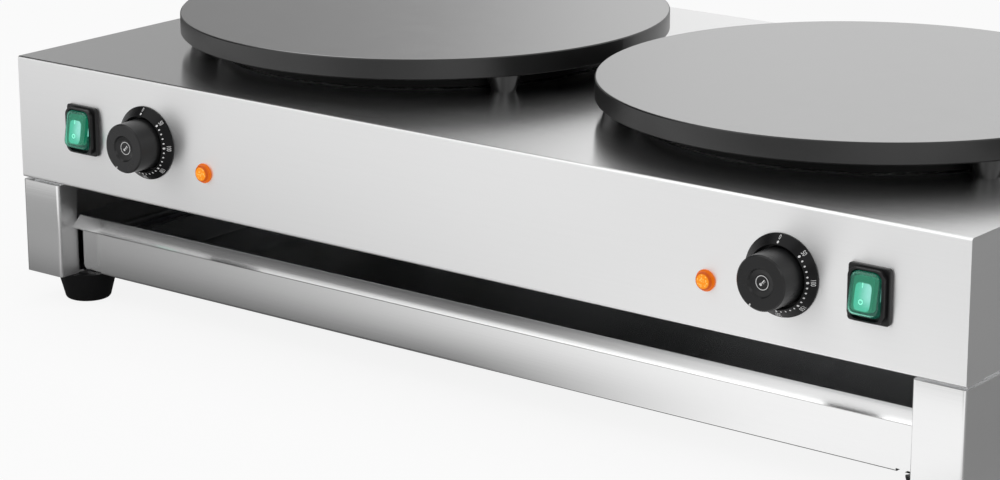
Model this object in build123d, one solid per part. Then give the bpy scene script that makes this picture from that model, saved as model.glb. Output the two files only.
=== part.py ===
from build123d import *
import math
import os

# Electric crepe maker: two cast baking plates on a stainless housing, above a base with a drawer.
# Millimetres, with +X right, +Y back and +Z up. The origin is on the table, under the body's middle.

# Housing: one folded shell, two end panels and a bottom cover
body_width = 884.0
body_depth = 486.0
body_height = 101.0
body_sheet = 1.2
body_bend = 2.0
body_flange = 22.5
cover_thickness = 2.0
cover_inset = 4.0
cover_front_inset = 9.0
cover_screw_pitch = 150.0
cover_screw_inset = 16.5
base_bolt_pitch = 120.0
base_bolt_inset = 8.5
vent_length = 42.0
vent_width = 5.0
vent_pitch = 12.0
vents_per_row = 7
vent_offset = 105.0

# Baking plates and the posts that carry them
plate_radius = 201.0
plate_rim = 16.5
plate_thickness = 11.0
plate_rim_width = 30.0
plate_chamfer = 1.0
plate_draft = 1.0
plate_spacing = 424.0
plate_shift = -2.0
plate_gap = 14.0
boss_radius = 14.0
post_x = 158.0
post_y = 96.5
post_top_radius = 14.0
post_foot_radius = 9.4
thread_depth = 12.0

# Heating package under each plate
element_radius = 4.25
outer_loop = 140.0
inner_loop = 80.0
outer_loop_gap = 14.0
inner_loop_gap = 24.0
element_bend = 12.0
element_leg = 30.0
pin_radius = 1.6
pin_length = 9.0
clamp_radius = 150.0
clamp_thickness = 2.0
insulation_radius = 152.0
insulation_thickness = 19.0
pan_radius = 152.5
pan_sheet = 0.8
pan_bend = 3.0
pan_flange = 14.0
pan_skirt_gap = 1.0
opening_radius = 160.0
collar_height = 5.0
collar_bend = 2.0
stud_radius = 4.0
stud_tail = 14.0
stud_nut_inradius = 6.5
stud_washer = 8.0
bulb_radius = 3.0
bulb_length = 80.0
bulb_offset = 100.0
capillary_radius = 0.9
capillary_bend = 9.0
capillary_hole = 2.2
capillary_setback = 26.0

# Controls on the front panel, as distances from its ends and below its middle
switch_inset = 74.0
dial_inset = 144.0
lamp_inset = 205.5
lamp_drop = 15.0

# Thermostat, its stem, knob and dial
thermostat_width = 42.0
thermostat_height = 46.0
thermostat_depth = 34.0
bracket_sheet = 1.5
bracket_width = 20.0
blade_width = 6.3
blade_thickness = 0.8
blade_length = 8.0
blade_row = 14.0
blade_pitch = 16.0
bush_radius = 5.75
bush_length = 1.4
dial_step = 0.9
dial_setting = 230.0
stem_radius = 3.0
stem_reach = 20.0
stem_flat = 1.0
running_gap = 0.05
screw_spacing = 28.0
knob_depth = 26.0
knob_face_radius = 19.6
knob_base_radius = 20.4
knob_wall = 2.0
knob_lift = 1.6
knob_recess_radius = 10.4
knob_recess_depth = 2.4
knob_dish = 4.0
knob_edge = 1.0
knob_notch = 1.6
knob_notch_depth = 0.5
hub_radius = 7.0
hub_lift = 1.0
dial_radius = 29.3
dial_inner_radius = 22.0
dial_height = 6.8
dial_edge = 1.0
dial_rim = 1.2
dial_round = 0.4
dial_floor = 0.8

# Rocker switch with its splash boot
frame_width = 32.6
frame_height = 39.6
frame_thickness = 3.0
frame_corner = 2.5
frame_bevel = 0.6
ring_width = 28.4
ring_height = 36.6
ring_depth = 7.0
ring_corner = 6.5
boot_width = 22.8
boot_height = 30.0
boot_depth = 11.0
boot_wall = 1.0
boot_corner = 5.5
boot_edge = 2.2
boot_lift = 5.0
boot_gap_x = 0.4
boot_gap_z = 2.1
rocker_width = 16.0
rocker_height = 24.0
rocker_lift = 4.2
rocker_tilt = 10.0
pivot_depth = 1.5
pivot_radius = 1.5
switch_width = 21.8
switch_height = 29.8
switch_depth = 26.0
switch_flange = 1.8
switch_corner = 1.0
cavity_width = 13.2
cavity_height = 16.0
cavity_depth = 8.0
rocker_corner = 3.0
neck_gap = 0.6
neck_height = 10.0
neck_depth = 5.0
pin_reach = 8.2
pin_gap = 0.4
switch_blade_row = 11.0
cutout_gap = 0.2

# Pilot lamp
lens_radius = 7.8
lens_flange = 1.4
lens_depth = 4.8
lens_edge = 0.4
lens_step = 1.0
lens_crown = 3.6
lamp_radius = 5.9
lamp_depth = 26.0
lamp_nut = 3.0
lamp_blade_width = 2.8
lamp_blade_row = 5.6

# Base, drawer and feet
base_height = 77.5
base_sheet = 1.5
base_bend = 2.5
leg_width = 40.5
leg_return = 20.0
base_flange = 58.0
base_flange_setback = 4.5
foot_height = 24.5
foot_top_radius = 24.8
foot_bottom_radius = 18.3
foot_edge = 3.0
foot_washer = 7.5
foot_well = 8.0
foot_inset = 34.8
bracket_offset = 51.0
bracket_height = 34.0
bracket_foot = 9.0
bracket_overhang = 7.0
slide_thickness = 12.7
slide_length = 400.0
slide_height = 26.0
slide_sheet = 1.2
slide_lip = 2.4
slide_bend = 1.5
rail_mouth = 9.2
runner_mouth = 8.6
slide_setback = 38.0
ball_radius = 1.3
ball_gap = 0.3
cage_sheet = 0.6
cage_gap = 0.9
cage_wrap = 1.8
balls_per_row = 6
drawer_travel = 290.0
drawer_sheet = 1.2
drawer_setback = 22.0
drawer_side_gap = 4.0
drawer_front_height = 49.0
drawer_corner = 4.0
drawer_hem = 15.0
drawer_bend = 2.2
drawer_step = 2.5
drawer_clearance = 1.5
lip_reach = 12.0
lip_drop = 10.0
lip_bend = 1.0
tray_sheet = 1.0
tray_depth = 425.0
tray_wall = 29.0
tray_hem = 8.0
tray_bend = 1.8
tray_setback = 1.0

# Screws and bolts
m4_radius = 2.0
m4_head_radius = 3.6
m4_head_height = 2.2
m6_radius = 3.0
m6_head_radius = 5.6
m6_head_height = 4.0
m6_nut_inradius = 5.0
nut_height = 5.0
screw_tail = 3.0
hole_gap = 0.3

# Back of the housing
gland_inset = 112.0
gland_radius = 12.4
gland_hex = 14.5
gland_bore = 7.0
gland_thread = 8.0
gland_collar = 6.0
gland_dome = 10.0
gland_reach = 26.0
earth_inset = 57.0
earth_reach = 18.0
earth_washer = 1.6
earth_groove = 1.0
earth_groove_radius = 2.5
block_length = 60.0
block_depth = 18.0
block_height = 22.0
block_offset = 60.0
block_setback = 45.0
block_ways = 5
block_pitch = 11.0
block_well = 3.0
wire_radius = 2.4
wire_bend = 8.0
wire_loop = 30.0
wire_level = 11.0
wire_margin = 22.0

# Levels and edges that follow from the sizes above
base_bottom = foot_height
base_top = base_bottom + base_height
body_bottom = base_top + cover_thickness
deck = body_bottom + body_height
panel_middle = body_bottom + body_height / 2
front = -body_depth / 2
back = body_depth / 2
edge = body_width / 2
switch_x = edge - switch_inset
dial_x = edge - dial_inset
lamp_x = edge - lamp_inset
gland_x = gland_inset - edge
earth_x = earth_inset - edge
plate_bottom = deck + plate_gap
plate_top = plate_bottom + plate_rim
plate_under = plate_top - plate_thickness
clamp_top = plate_under - 2 * element_radius
pan_floor = clamp_top - clamp_thickness - insulation_thickness - pan_sheet
pointer_angle = dial_setting * dial_step
bracket_x = edge - bracket_offset
tray_half = bracket_x - slide_thickness
drawer_face = front + drawer_setback
drawer_bottom = base_bottom + drawer_clearance
tray_floor = drawer_bottom + drawer_sheet
tray_front = drawer_face + drawer_sheet + tray_setback
tray_back = tray_front + tray_depth
slide_middle = tray_floor + tray_wall / 2
slide_front = front + slide_setback
sides = {"left": -1, "right": 1}
nodes = {}


def block(x, y, z):
    """Box between pairs of low and high coordinates."""
    spans = [x, y, z]
    middle = [(low + high) / 2 for low, high in spans]
    return Pos(*middle) * Box(*[high - low for low, high in spans])


def disc(radius, low, high, x=0.0, y=0.0):
    """Upright cylinder between two heights."""
    return Pos(x, y, (low + high) / 2) * Cylinder(radius, high - low)


def hexagon(inradius, low, high, x=0.0, y=0.0):
    """Upright hexagonal prism between two heights, given half the width across its flats."""
    outline = RegularPolygon(inradius, 6, major_radius=False)
    return Pos(x, y, low) * extrude(outline, amount=high - low)


def rounded(width, height, corner, low, high):
    """Block with rounded upright corners."""
    return Pos(0, 0, low) * extrude(RectangleRounded(width, height, corner), amount=high - low)


def folded(points, sheet, bend, axis, span, side=Side.RIGHT):
    """Sheet that follows points and runs along an axis, thickened to one side of its travel.

    The points are (y, z) for axis X, (z, x) for axis Y and (x, y) for axis Z.
    """
    plane = {"X": Plane.YZ, "Y": Plane.ZX, "Z": Plane.XY}[axis]
    outline = FilletPolyline(*points, radius=bend)
    profile = make_face(offset(outline, amount=sheet, side=side).edges())
    return plane.offset(span[0]) * extrude(profile, amount=span[1] - span[0], dir=(0, 0, 1))


def spun_sheet(points, sheet, bend):
    """Sheet turned about the Z axis from (radius, height) points, thickened to the left of travel."""
    outline = FilletPolyline(*points, radius=bend)
    profile = make_face(offset(outline, amount=sheet, side=Side.LEFT).edges())
    return revolve(Plane.XZ * profile, Axis.Z)


def turned(points):
    """Solid turned about the Z axis from (radius, height) points."""
    return revolve(Plane.XZ * make_face(Polyline(*points, close=True)), Axis.Z)


def tube(points, radius, bend):
    """Round wire or tube along straight runs with rounded corners."""
    path = FilletPolyline(*points, radius=bend)
    section = Plane(origin=path @ 0, z_dir=path % 0) * Circle(radius)
    return sweep(section, path=path)


def slot(start, end, radius, low, high):
    """Upright hole with round ends between two places."""
    run = Vector(*end) - Vector(*start)
    middle = (Vector(*end) + Vector(*start)) / 2
    outline = Rot(0, 0, math.degrees(math.atan2(run.Y, run.X))) * SlotCenterToCenter(run.length, 2 * radius)
    return Pos(middle.X, middle.Y, low) * extrude(outline, amount=high - low)


def blade(x, y, high, width):
    """Flat terminal that hangs below a body."""
    half = width / 2
    rise = blade_thickness / 2
    return block((x - half, x + half), (y - rise, y + rise), (high - blade_length, high))


def bolt(radius, head_radius, head_height, length):
    """Bolt along -Z, with its head on the XY plane."""
    return disc(radius, -length, 0) + disc(head_radius, 0, head_height)


def nut(radius, inradius, low, high):
    """Hexagonal nut about the Z axis."""
    return hexagon(inradius, low, high) - disc(radius, low, high)


def on_panel(x, drop=0.0):
    """Plane on the front panel: x right, y up and z out of the panel."""
    return Plane(origin=(x, front, panel_middle - drop), x_dir=(1, 0, 0), z_dir=(0, -1, 0))


def on_back(x, drop=0.0):
    """Plane on the housing's back: y up and z out of it."""
    return Plane(origin=(x, back, panel_middle - drop), x_dir=(-1, 0, 0), z_dir=(0, 1, 0))


def plate_plane(sign):
    """Plane at the table under a plate's middle."""
    return Pos(sign * plate_spacing / 2, plate_shift, 0)


def sided(solid, sign):
    """The right-hand solid, or its mirror image on the left."""
    return solid if sign > 0 else mirror(solid, about=Plane.YZ)


def post_spots():
    """Where the posts stand about a plate's middle."""
    return [(x, y) for x in (-post_x, post_x) for y in (-post_y, post_y)]


def screw_spots():
    """Where the bottom cover is screwed to the shell's two long flanges."""
    line = back - cover_screw_inset
    return [(cover_screw_pitch * step, y) for step in (-2, -1, 0, 1, 2) for y in (-line, line)]


def base_bolt_spots():
    """Where the base is bolted to the housing's end flanges."""
    line = edge - base_bolt_inset
    return [(sign * line, base_bolt_pitch * step) for sign in (-1, 1) for step in (-1, 0, 1)]


def foot_spots():
    """Where the feet stand, by name."""
    x = edge - foot_inset
    y = back - foot_inset
    return {
        f"{row}_{side}": (sign * x, place)
        for side, sign in sides.items()
        for row, place in (("front", -y), ("back", y))
    }


def leg_runs():
    """From each ring's end to its leg, about a plate's middle."""
    runs = []
    for loop, gap in ((outer_loop, outer_loop_gap), (inner_loop, inner_loop_gap)):
        turn = math.radians(gap)
        end_x = loop * math.sin(turn)
        end_y = loop * math.cos(turn)
        leg_x = end_x - element_bend * math.cos(turn)
        leg_y = end_y + element_bend * math.sin(turn)
        runs += [((sign * end_x, end_y), (sign * leg_x, leg_y)) for sign in (-1, 1)]
    return runs


def capillary_drop(sign):
    """Where the capillary goes down through the heating package, about a plate's middle."""
    return sign * bulb_offset, -bulb_length / 2 - capillary_setback


# ---- housing ----

def make_top_shell():
    """Deck, front and back in one sheet, with its openings."""
    points = [
        (front + body_flange, body_bottom),
        (front, body_bottom),
        (front, deck),
        (back, deck),
        (back, body_bottom),
        (back - body_flange, body_bottom),
    ]
    shell = folded(points, body_sheet, body_bend, "X", (-edge, edge))
    collar_outside = opening_radius + body_sheet
    collar_foot = collar_outside + 3 * collar_bend
    collar = spun_sheet(
        [(collar_foot, deck), (collar_outside, deck), (collar_outside, deck + collar_height)],
        body_sheet,
        collar_bend,
    )
    for sign in sides.values():
        middle = plate_plane(sign)
        shell -= middle * disc(collar_foot - collar_bend / 2, deck - body_sheet, deck)
        shell += middle * collar
        for x, y in post_spots():
            shell -= middle * disc(m6_radius + hole_gap, deck - body_sheet, deck, x, y)
        shell -= on_panel(sign * switch_x) * rounded(
            switch_width + 2 * cutout_gap, switch_height + 2 * cutout_gap, 1, -body_sheet, 0
        )
        shell -= on_panel(sign * dial_x) * disc(bush_radius + cutout_gap, -body_sheet, 0)
        for x in (-screw_spacing / 2, screw_spacing / 2):
            shell -= on_panel(sign * dial_x) * disc(m4_radius + hole_gap, -body_sheet, 0, x)
        shell -= on_panel(sign * lamp_x, lamp_drop) * disc(lamp_radius + cutout_gap, -body_sheet, 0)
    for x, y in screw_spots():
        shell -= disc(m4_radius, body_bottom, body_bottom + body_sheet, x, y)
    shell -= on_back(gland_x) * disc(gland_radius + cutout_gap, -body_sheet, 0)
    shell -= on_back(earth_x) * disc(m6_radius, -body_sheet, 0)
    vent = Rot(0, 0, 90) * extrude(SlotOverall(vent_length, vent_width), amount=-body_sheet)
    for sign in sides.values():
        for step in range(vents_per_row):
            offset_x = (step - (vents_per_row - 1) / 2) * vent_pitch
            shell -= on_back(sign * vent_offset + offset_x) * vent
    return shell


def make_end_panel():
    """Right end of the housing, fitted inside the shell, with a flange above and below."""
    points = [
        (body_bottom, edge - body_flange),
        (body_bottom, edge),
        (deck - body_sheet, edge),
        (deck - body_sheet, edge - body_flange),
    ]
    panel = folded(points, body_sheet, body_bend, "Y", (front + body_flange, back - body_flange))
    width = body_depth - 2 * body_sheet
    height = body_height - 2 * body_sheet
    wall = Pos(0, panel_middle) * RectangleRounded(width, height, body_bend - body_sheet)
    panel += Plane.YZ.offset(edge - body_sheet) * extrude(wall, amount=body_sheet)
    for x, y in base_bolt_spots():
        panel -= disc(m6_radius + hole_gap, body_bottom, body_bottom + body_sheet, x, y)
    return panel


def make_bottom_cover():
    """Flat cover, set in from the housing's outline, which leaves a shadow gap above the base."""
    x = edge - cover_inset
    y = back - cover_front_inset
    cover = block((-x, x), (-y, y), (base_top, body_bottom))
    for x, y in screw_spots():
        cover -= disc(m4_radius + hole_gap, base_top, body_bottom, x, y)
    for x, y in base_bolt_spots():
        cover -= disc(m6_radius + hole_gap, base_top, body_bottom, x, y)
    vent = extrude(SlotOverall(vent_length, vent_width), amount=cover_thickness)
    for sign in sides.values():
        for step in range(vents_per_row):
            y = (step - (vents_per_row - 1) / 2) * vent_pitch
            cover -= Pos(sign * plate_spacing / 2, y, base_top) * vent
    return cover


def make_m4_screws():
    """Cover screws, driven up from below, and the thermostats' screws behind the knobs."""
    grip = cover_thickness + body_sheet + screw_tail
    cover_screw = bolt(m4_radius, m4_head_radius, m4_head_height, grip)
    screws = [Pos(x, y, base_top) * Rot(180, 0, 0) * cover_screw for x, y in screw_spots()]
    grip = dial_floor + body_sheet + bracket_sheet + screw_tail
    dial_screw = bolt(m4_radius, m4_head_radius, m4_head_height, grip)
    for sign in sides.values():
        for x in (-screw_spacing / 2, screw_spacing / 2):
            screws.append(on_panel(sign * dial_x) * Pos(x, 0, dial_floor) * dial_screw)
    return screws


def make_m6_bolts():
    """Post screws, base bolts with their nuts, and foot screws with washers and nuts."""
    pieces = []
    post_grip = body_sheet + plate_gap + thread_depth - 1
    post_screw = bolt(m6_radius, m6_head_radius, m6_head_height, post_grip)
    for sign in sides.values():
        for x, y in post_spots():
            seat = plate_plane(sign) * Pos(x, y, deck - body_sheet) * Rot(180, 0, 0)
            pieces.append(seat * post_screw)
    joint_grip = base_sheet + cover_thickness + body_sheet
    base_bolt = bolt(m6_radius, m6_head_radius, m6_head_height, joint_grip + nut_height + screw_tail)
    flange_top = body_bottom + body_sheet
    base_nut = nut(m6_radius, m6_nut_inradius, flange_top, flange_top + nut_height)
    for x, y in base_bolt_spots():
        pieces.append(Pos(x, y, base_top - base_sheet) * Rot(180, 0, 0) * base_bolt)
        pieces.append(Pos(x, y, 0) * base_nut)
    washer_low = foot_height / 2
    washer_top = washer_low + base_sheet
    inside = base_bottom + base_sheet
    foot_grip = inside + nut_height + screw_tail - washer_low
    foot_bolt = bolt(m6_radius, m6_head_radius, m6_head_height, foot_grip)
    washer = disc(foot_washer, washer_low, washer_top) - disc(m6_radius, washer_low, washer_top)
    foot_nut = nut(m6_radius, m6_nut_inradius, inside, inside + nut_height)
    for x, y in foot_spots().values():
        pieces.append(Pos(x, y, washer_low) * Rot(180, 0, 0) * foot_bolt)
        pieces.append(Pos(x, y, 0) * washer)
        pieces.append(Pos(x, y, 0) * foot_nut)
    return pieces


# ---- baking plates and heating ----

def make_baking_plate():
    """Cast plate about the Z axis, recessed below inside its rim."""
    inner = plate_radius - plate_rim_width
    plate = turned(
        [
            (0, plate_top),
            (plate_radius - plate_chamfer, plate_top),
            (plate_radius, plate_top - plate_chamfer),
            (plate_radius, plate_bottom + plate_chamfer),
            (plate_radius - plate_chamfer, plate_bottom),
            (inner, plate_bottom),
            (inner - plate_draft, plate_under),
            (boss_radius + plate_draft, plate_under),
            (boss_radius, clamp_top),
            (0, clamp_top),
        ]
    )
    for x, y in post_spots():
        plate -= disc(m6_radius, plate_bottom, plate_bottom + thread_depth, x, y)
    return plate - disc(stud_radius, clamp_top, clamp_top + thread_depth)


def make_plate_posts():
    """Four tapered posts under each plate."""
    posts = []
    for sign in sides.values():
        for x, y in post_spots():
            post = Pos(x, y, deck + plate_gap / 2) * Cone(post_foot_radius, post_top_radius, plate_gap)
            post -= disc(m6_radius, deck, plate_bottom, x, y)
            posts.append(plate_plane(sign) * post)
    return posts


def make_element(loop, gap):
    """Tubular element: a ring, open at the back, whose two ends bend down into legs and pins."""
    height = plate_under - element_radius
    ring = Edge.make_circle(loop, Plane.XY.offset(height), 90 + gap, 450 - gap)
    down = Vector(0, 0, -1)
    edges = [ring]
    pins = []
    for end, heading in ((ring @ 0, (ring % 0) * -1), (ring @ 1, ring % 1)):
        corner = end + heading * element_bend + down * element_bend
        tip = corner + down * element_leg
        edges.append(Edge.make_tangent_arc(end, heading, corner))
        edges.append(Edge.make_line(corner, tip))
        pins.append(disc(pin_radius, tip.Z - pin_length, tip.Z, tip.X, tip.Y))
    path = Wire(edges)
    section = Plane(origin=path @ 0, z_dir=path % 0) * Circle(element_radius)
    return sweep(section, path=path) + pins[0] + pins[1]


def package_holes(sign, low, high, gap):
    """Holes for the legs, the stud and the capillary through a layer of the heating package."""
    holes = disc(stud_radius + gap, low, high)
    for end, leg in leg_runs():
        holes += slot(end, leg, element_radius + gap, low, high)
    x, y = capillary_drop(sign)
    return holes + disc(capillary_hole, low, high, x, y)


def make_element_clamp(sign):
    """Disc that presses both loops against the plate."""
    low = clamp_top - clamp_thickness
    return disc(clamp_radius, low, clamp_top) - package_holes(sign, low, clamp_top, hole_gap)


def make_insulation(sign):
    """Fibre disc under the clamp."""
    high = clamp_top - clamp_thickness
    low = high - insulation_thickness
    pad = disc(insulation_radius, low, high)
    pad = fillet(pad.edges().group_by(Axis.Z)[0], pan_bend)
    return pad - package_holes(sign, low, high, hole_gap)


def make_pan(sign):
    """Pan that holds the insulation, with a rim and skirt over the deck's collar."""
    rim = clamp_top - clamp_thickness
    outside = pan_radius + pan_sheet
    skirt = outside + pan_flange
    points = [(0, pan_floor), (outside, pan_floor), (outside, rim), (skirt, rim), (skirt, deck + pan_skirt_gap)]
    pan = spun_sheet(points, pan_sheet, pan_bend)
    return pan - package_holes(sign, pan_floor, pan_floor + pan_sheet, hole_gap)


def make_centre_studs():
    """Stud, washer and nut that hold each heating package."""
    washer_low = pan_floor - base_sheet
    nut_low = washer_low - nut_height
    stud = disc(stud_radius, pan_floor - stud_tail, clamp_top + thread_depth)
    washer = disc(stud_washer, washer_low, pan_floor) - disc(stud_radius, washer_low, pan_floor)
    lock = nut(stud_radius, stud_nut_inradius, nut_low, washer_low)
    return [plate_plane(sign) * piece for sign in sides.values() for piece in (stud, washer, lock)]


# ---- controls ----

def make_thermostat(sign):
    """Thermostat body behind the panel, with its bracket, bush, terminals, capillary and bulb."""
    seat = -body_sheet - bracket_sheet
    low = seat - thermostat_depth
    half_width = thermostat_width / 2
    half_height = thermostat_height / 2
    half_bracket = bracket_width / 2
    body = block((-half_width, half_width), (-half_height, half_height), (low, seat))
    body += block((-half_width, half_width), (-half_bracket, half_bracket), (seat, -body_sheet))
    body += disc(bush_radius, seat, bush_length)
    body -= disc(stem_radius + running_gap, low + thermostat_depth / 2, bush_length)
    for x in (-screw_spacing / 2, screw_spacing / 2):
        body -= disc(m4_radius, seat - screw_tail, -body_sheet, x)
    for x in (-blade_pitch / 2, blade_pitch / 2):
        for y in (-blade_row / 2, blade_row / 2):
            body += blade(x, y, low, blade_width)
    drop_x, drop_y = capillary_drop(sign)
    bulb_x = sign * plate_spacing / 2 + drop_x
    height = plate_under - bulb_radius
    turn_y = plate_shift + drop_y
    exit_y = front - low
    exit_z = panel_middle + half_height - 2 * capillary_radius - wire_radius
    points = [
        (bulb_x, plate_shift - bulb_length / 2, height),
        (bulb_x, turn_y, height),
        (bulb_x, turn_y, exit_z + 2 * capillary_bend),
        (sign * dial_x, exit_y + wire_loop, exit_z),
        (sign * dial_x, exit_y, exit_z),
    ]
    bulb_plane = Plane(origin=(bulb_x, plate_shift + bulb_length / 2, height), z_dir=(0, -1, 0))
    bulb = bulb_plane * disc(bulb_radius, 0, bulb_length)
    return [on_panel(sign * dial_x) * body, bulb + tube(points, capillary_radius, capillary_bend)]


def make_stem():
    """Turning stem with a flat at its outer end."""
    low = -body_sheet - bracket_sheet - thermostat_depth / 2
    stem = disc(stem_radius, low, stem_reach)
    across = (-stem_radius, stem_radius)
    return stem - block(across, (stem_radius - stem_flat, stem_radius), (bush_length + hub_lift, stem_reach))


def make_knob():
    """Hollow round grip with a dished face, a pointer notch and a hub on the stem."""
    dish = knob_depth - knob_recess_depth
    hollow = knob_depth - knob_recess_depth - 2 * knob_wall
    hub_low = bush_length + hub_lift
    grip = turned(
        [
            (0, dish),
            (knob_recess_radius - knob_dish, dish),
            (knob_recess_radius - knob_edge, dish + knob_edge),
            (knob_recess_radius, knob_depth),
            (knob_face_radius - knob_edge, knob_depth),
            (knob_face_radius, knob_depth - knob_edge),
            (knob_base_radius, knob_lift),
            (knob_base_radius - knob_wall, knob_lift),
            (knob_face_radius - knob_wall, hollow),
            (hub_radius, hollow),
            (hub_radius, hub_low),
            (0, hub_low),
        ]
    )
    grip -= make_stem()
    half = knob_notch / 2
    span = (knob_face_radius - knob_edge - knob_notch, knob_face_radius)
    notch = block((-half, half), span, (knob_depth - knob_notch_depth, knob_depth))
    return grip - Rot(0, 0, -pointer_angle) * notch


def make_dial_ring():
    """Cone with the temperature scale, and the floor by which the thermostat's screws hold it."""
    hole = bush_radius + cutout_gap
    ring = turned(
        [
            (hole, 0),
            (dial_radius, 0),
            (dial_radius, dial_edge),
            (dial_inner_radius + dial_rim, dial_height - dial_round),
            (dial_inner_radius + dial_rim - dial_round, dial_height),
            (dial_inner_radius + dial_round, dial_height),
            (dial_inner_radius, dial_height - dial_round),
            (dial_inner_radius, dial_floor),
            (hole, dial_floor),
        ]
    )
    for x in (-screw_spacing / 2, screw_spacing / 2):
        ring -= disc(m4_radius + hole_gap, 0, dial_floor, x)
    return ring


def make_switch_frame():
    """Bezel and clamp ring around the boot."""
    frame = rounded(frame_width, frame_height, frame_corner, 0, frame_thickness)
    frame = chamfer(frame.edges().group_by(Axis.Z)[-1], frame_bevel)
    frame += rounded(ring_width, ring_height, ring_corner, frame_thickness, ring_depth)
    width = boot_width + 2 * boot_gap_x
    height = boot_height + 2 * boot_gap_z
    frame -= rounded(width, height, boot_corner, 0, ring_depth)
    return fillet(frame.edges().group_by(Axis.Z)[-1], frame_bevel / 2)


def make_switch_body():
    """Switch body through the panel, with a seat for the rocker and four terminals."""
    flange_width = boot_width + 2 * boot_gap_x - cutout_gap
    flange_height = boot_height + 2 * boot_gap_z - cutout_gap
    half_width = cavity_width / 2
    half_height = cavity_height / 2
    body = rounded(flange_width, flange_height, boot_corner, 0, switch_flange)
    body += rounded(switch_width, switch_height, switch_corner, -switch_depth, 0)
    body -= block((-half_width, half_width), (-half_height, half_height), (-cavity_depth, switch_flange))
    reach = pin_reach + pin_gap
    body -= Plane.YZ * Pos(0, -pivot_depth, 0) * disc(pivot_radius + running_gap, -reach, reach)
    for x in (-switch_blade_row / 2, switch_blade_row / 2):
        for y in (-blade_pitch / 2, blade_pitch / 2):
            body += blade(x, y, -switch_depth, blade_width)
    return body


def tilted(piece):
    """Turned about the rocker's pivot, with its upper end pressed in."""
    return Pos(0, 0, -pivot_depth) * Rot(-rocker_tilt, 0, 0) * Pos(0, 0, pivot_depth) * piece


def make_rocker():
    """Lit rocker with its neck and pivot pins."""
    half_width = cavity_width / 2 - neck_gap
    half_height = neck_height / 2
    rocker = rounded(rocker_width, rocker_height, rocker_corner, rocker_lift, boot_depth - boot_wall)
    rocker += block((-half_width, half_width), (-half_height, half_height), (-neck_depth, rocker_lift))
    rocker += Plane.YZ * Pos(0, -pivot_depth, 0) * disc(pivot_radius, -pin_reach, pin_reach)
    return tilted(rocker)


def make_boot():
    """Clear splash boot over the rocker."""
    boot = rounded(boot_width, boot_height, boot_corner, boot_lift, boot_depth)
    boot = fillet(boot.edges().group_by(Axis.Z)[-1], boot_edge)
    width = boot_width - 2 * boot_wall
    height = boot_height - 2 * boot_wall
    boot -= rounded(width, height, boot_corner - boot_wall, boot_lift, boot_depth - boot_wall)
    return tilted(boot)


def make_lens():
    """Domed lamp lens on a thin flange."""
    dome = lens_radius - lens_step
    return turned(
        [
            (0, 0),
            (lens_radius, 0),
            (lens_radius, lens_flange - lens_edge),
            (lens_radius - lens_edge, lens_flange),
            (dome, lens_flange),
            (dome - lens_edge, lens_depth - 4 * lens_edge),
            (dome - lens_crown / 2, lens_depth - lens_edge),
            (dome - lens_crown, lens_depth),
            (0, lens_depth),
        ]
    )


def make_lamp_body():
    """Lamp barrel with its push-on nut and two terminals."""
    body = disc(lamp_radius, -lamp_depth, 0)
    body += disc(lens_radius + lens_step, -body_sheet - lamp_nut, -body_sheet)
    for y in (-lamp_blade_row / 2, lamp_blade_row / 2):
        body += blade(0, y, -lamp_depth, lamp_blade_width)
    return body


# ---- back and wiring ----

def make_cable_gland():
    """Gland body, dome nut and locknut, with a free bore for the supply cord."""
    low = -body_sheet - gland_thread
    dome_edge = gland_collar + gland_dome
    body = disc(gland_radius, low, 0) + hexagon(gland_hex, 0, gland_collar)
    body -= disc(gland_bore, low, gland_collar)
    dome = turned(
        [
            (gland_bore, gland_collar),
            (gland_hex, gland_collar),
            (gland_hex, dome_edge),
            ((gland_hex + gland_radius) / 2, (dome_edge + gland_reach) / 2),
            ((gland_bore + gland_radius) / 2, gland_reach),
            (gland_bore, gland_reach),
        ]
    )
    lock = nut(gland_radius, gland_hex, -body_sheet - nut_height, -body_sheet)
    return [on_back(gland_x) * piece for piece in (body, dome, lock)]


def make_earth_stud():
    """Stud for a bonding wire, with a nut inside and a washer and nut outside."""
    inner = -body_sheet - nut_height
    nut_top = earth_washer + nut_height
    stud = disc(m6_radius, inner - screw_tail, nut_top) + disc(m6_radius, nut_top + earth_groove, earth_reach)
    stud += disc(earth_groove_radius, nut_top, nut_top + earth_groove)
    washer = disc(m6_head_radius, 0, earth_washer) - disc(m6_radius, 0, earth_washer)
    inside = nut(m6_radius, m6_nut_inradius, inner, -body_sheet)
    outside = nut(m6_radius, m6_nut_inradius, earth_washer, nut_top)
    return [on_back(earth_x) * piece for piece in (stud, washer, inside, outside)]


def block_place():
    """Middle of the terminal block's front edge, on the bottom cover."""
    return gland_x + block_offset, back - block_setback


def make_terminal_block():
    """Block on the bottom cover, beside the gland, with a screw well for each way."""
    x, y = block_place()
    half = block_length / 2
    top = body_bottom + block_height
    body = block((x - half, x + half), (y, y + block_depth), (body_bottom, top))
    for step in range(block_ways):
        well_x = x + (step - (block_ways - 1) / 2) * block_pitch
        body -= disc(block_well, top - 2 * block_well, top, well_x, y + block_depth / 2)
    return body


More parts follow.
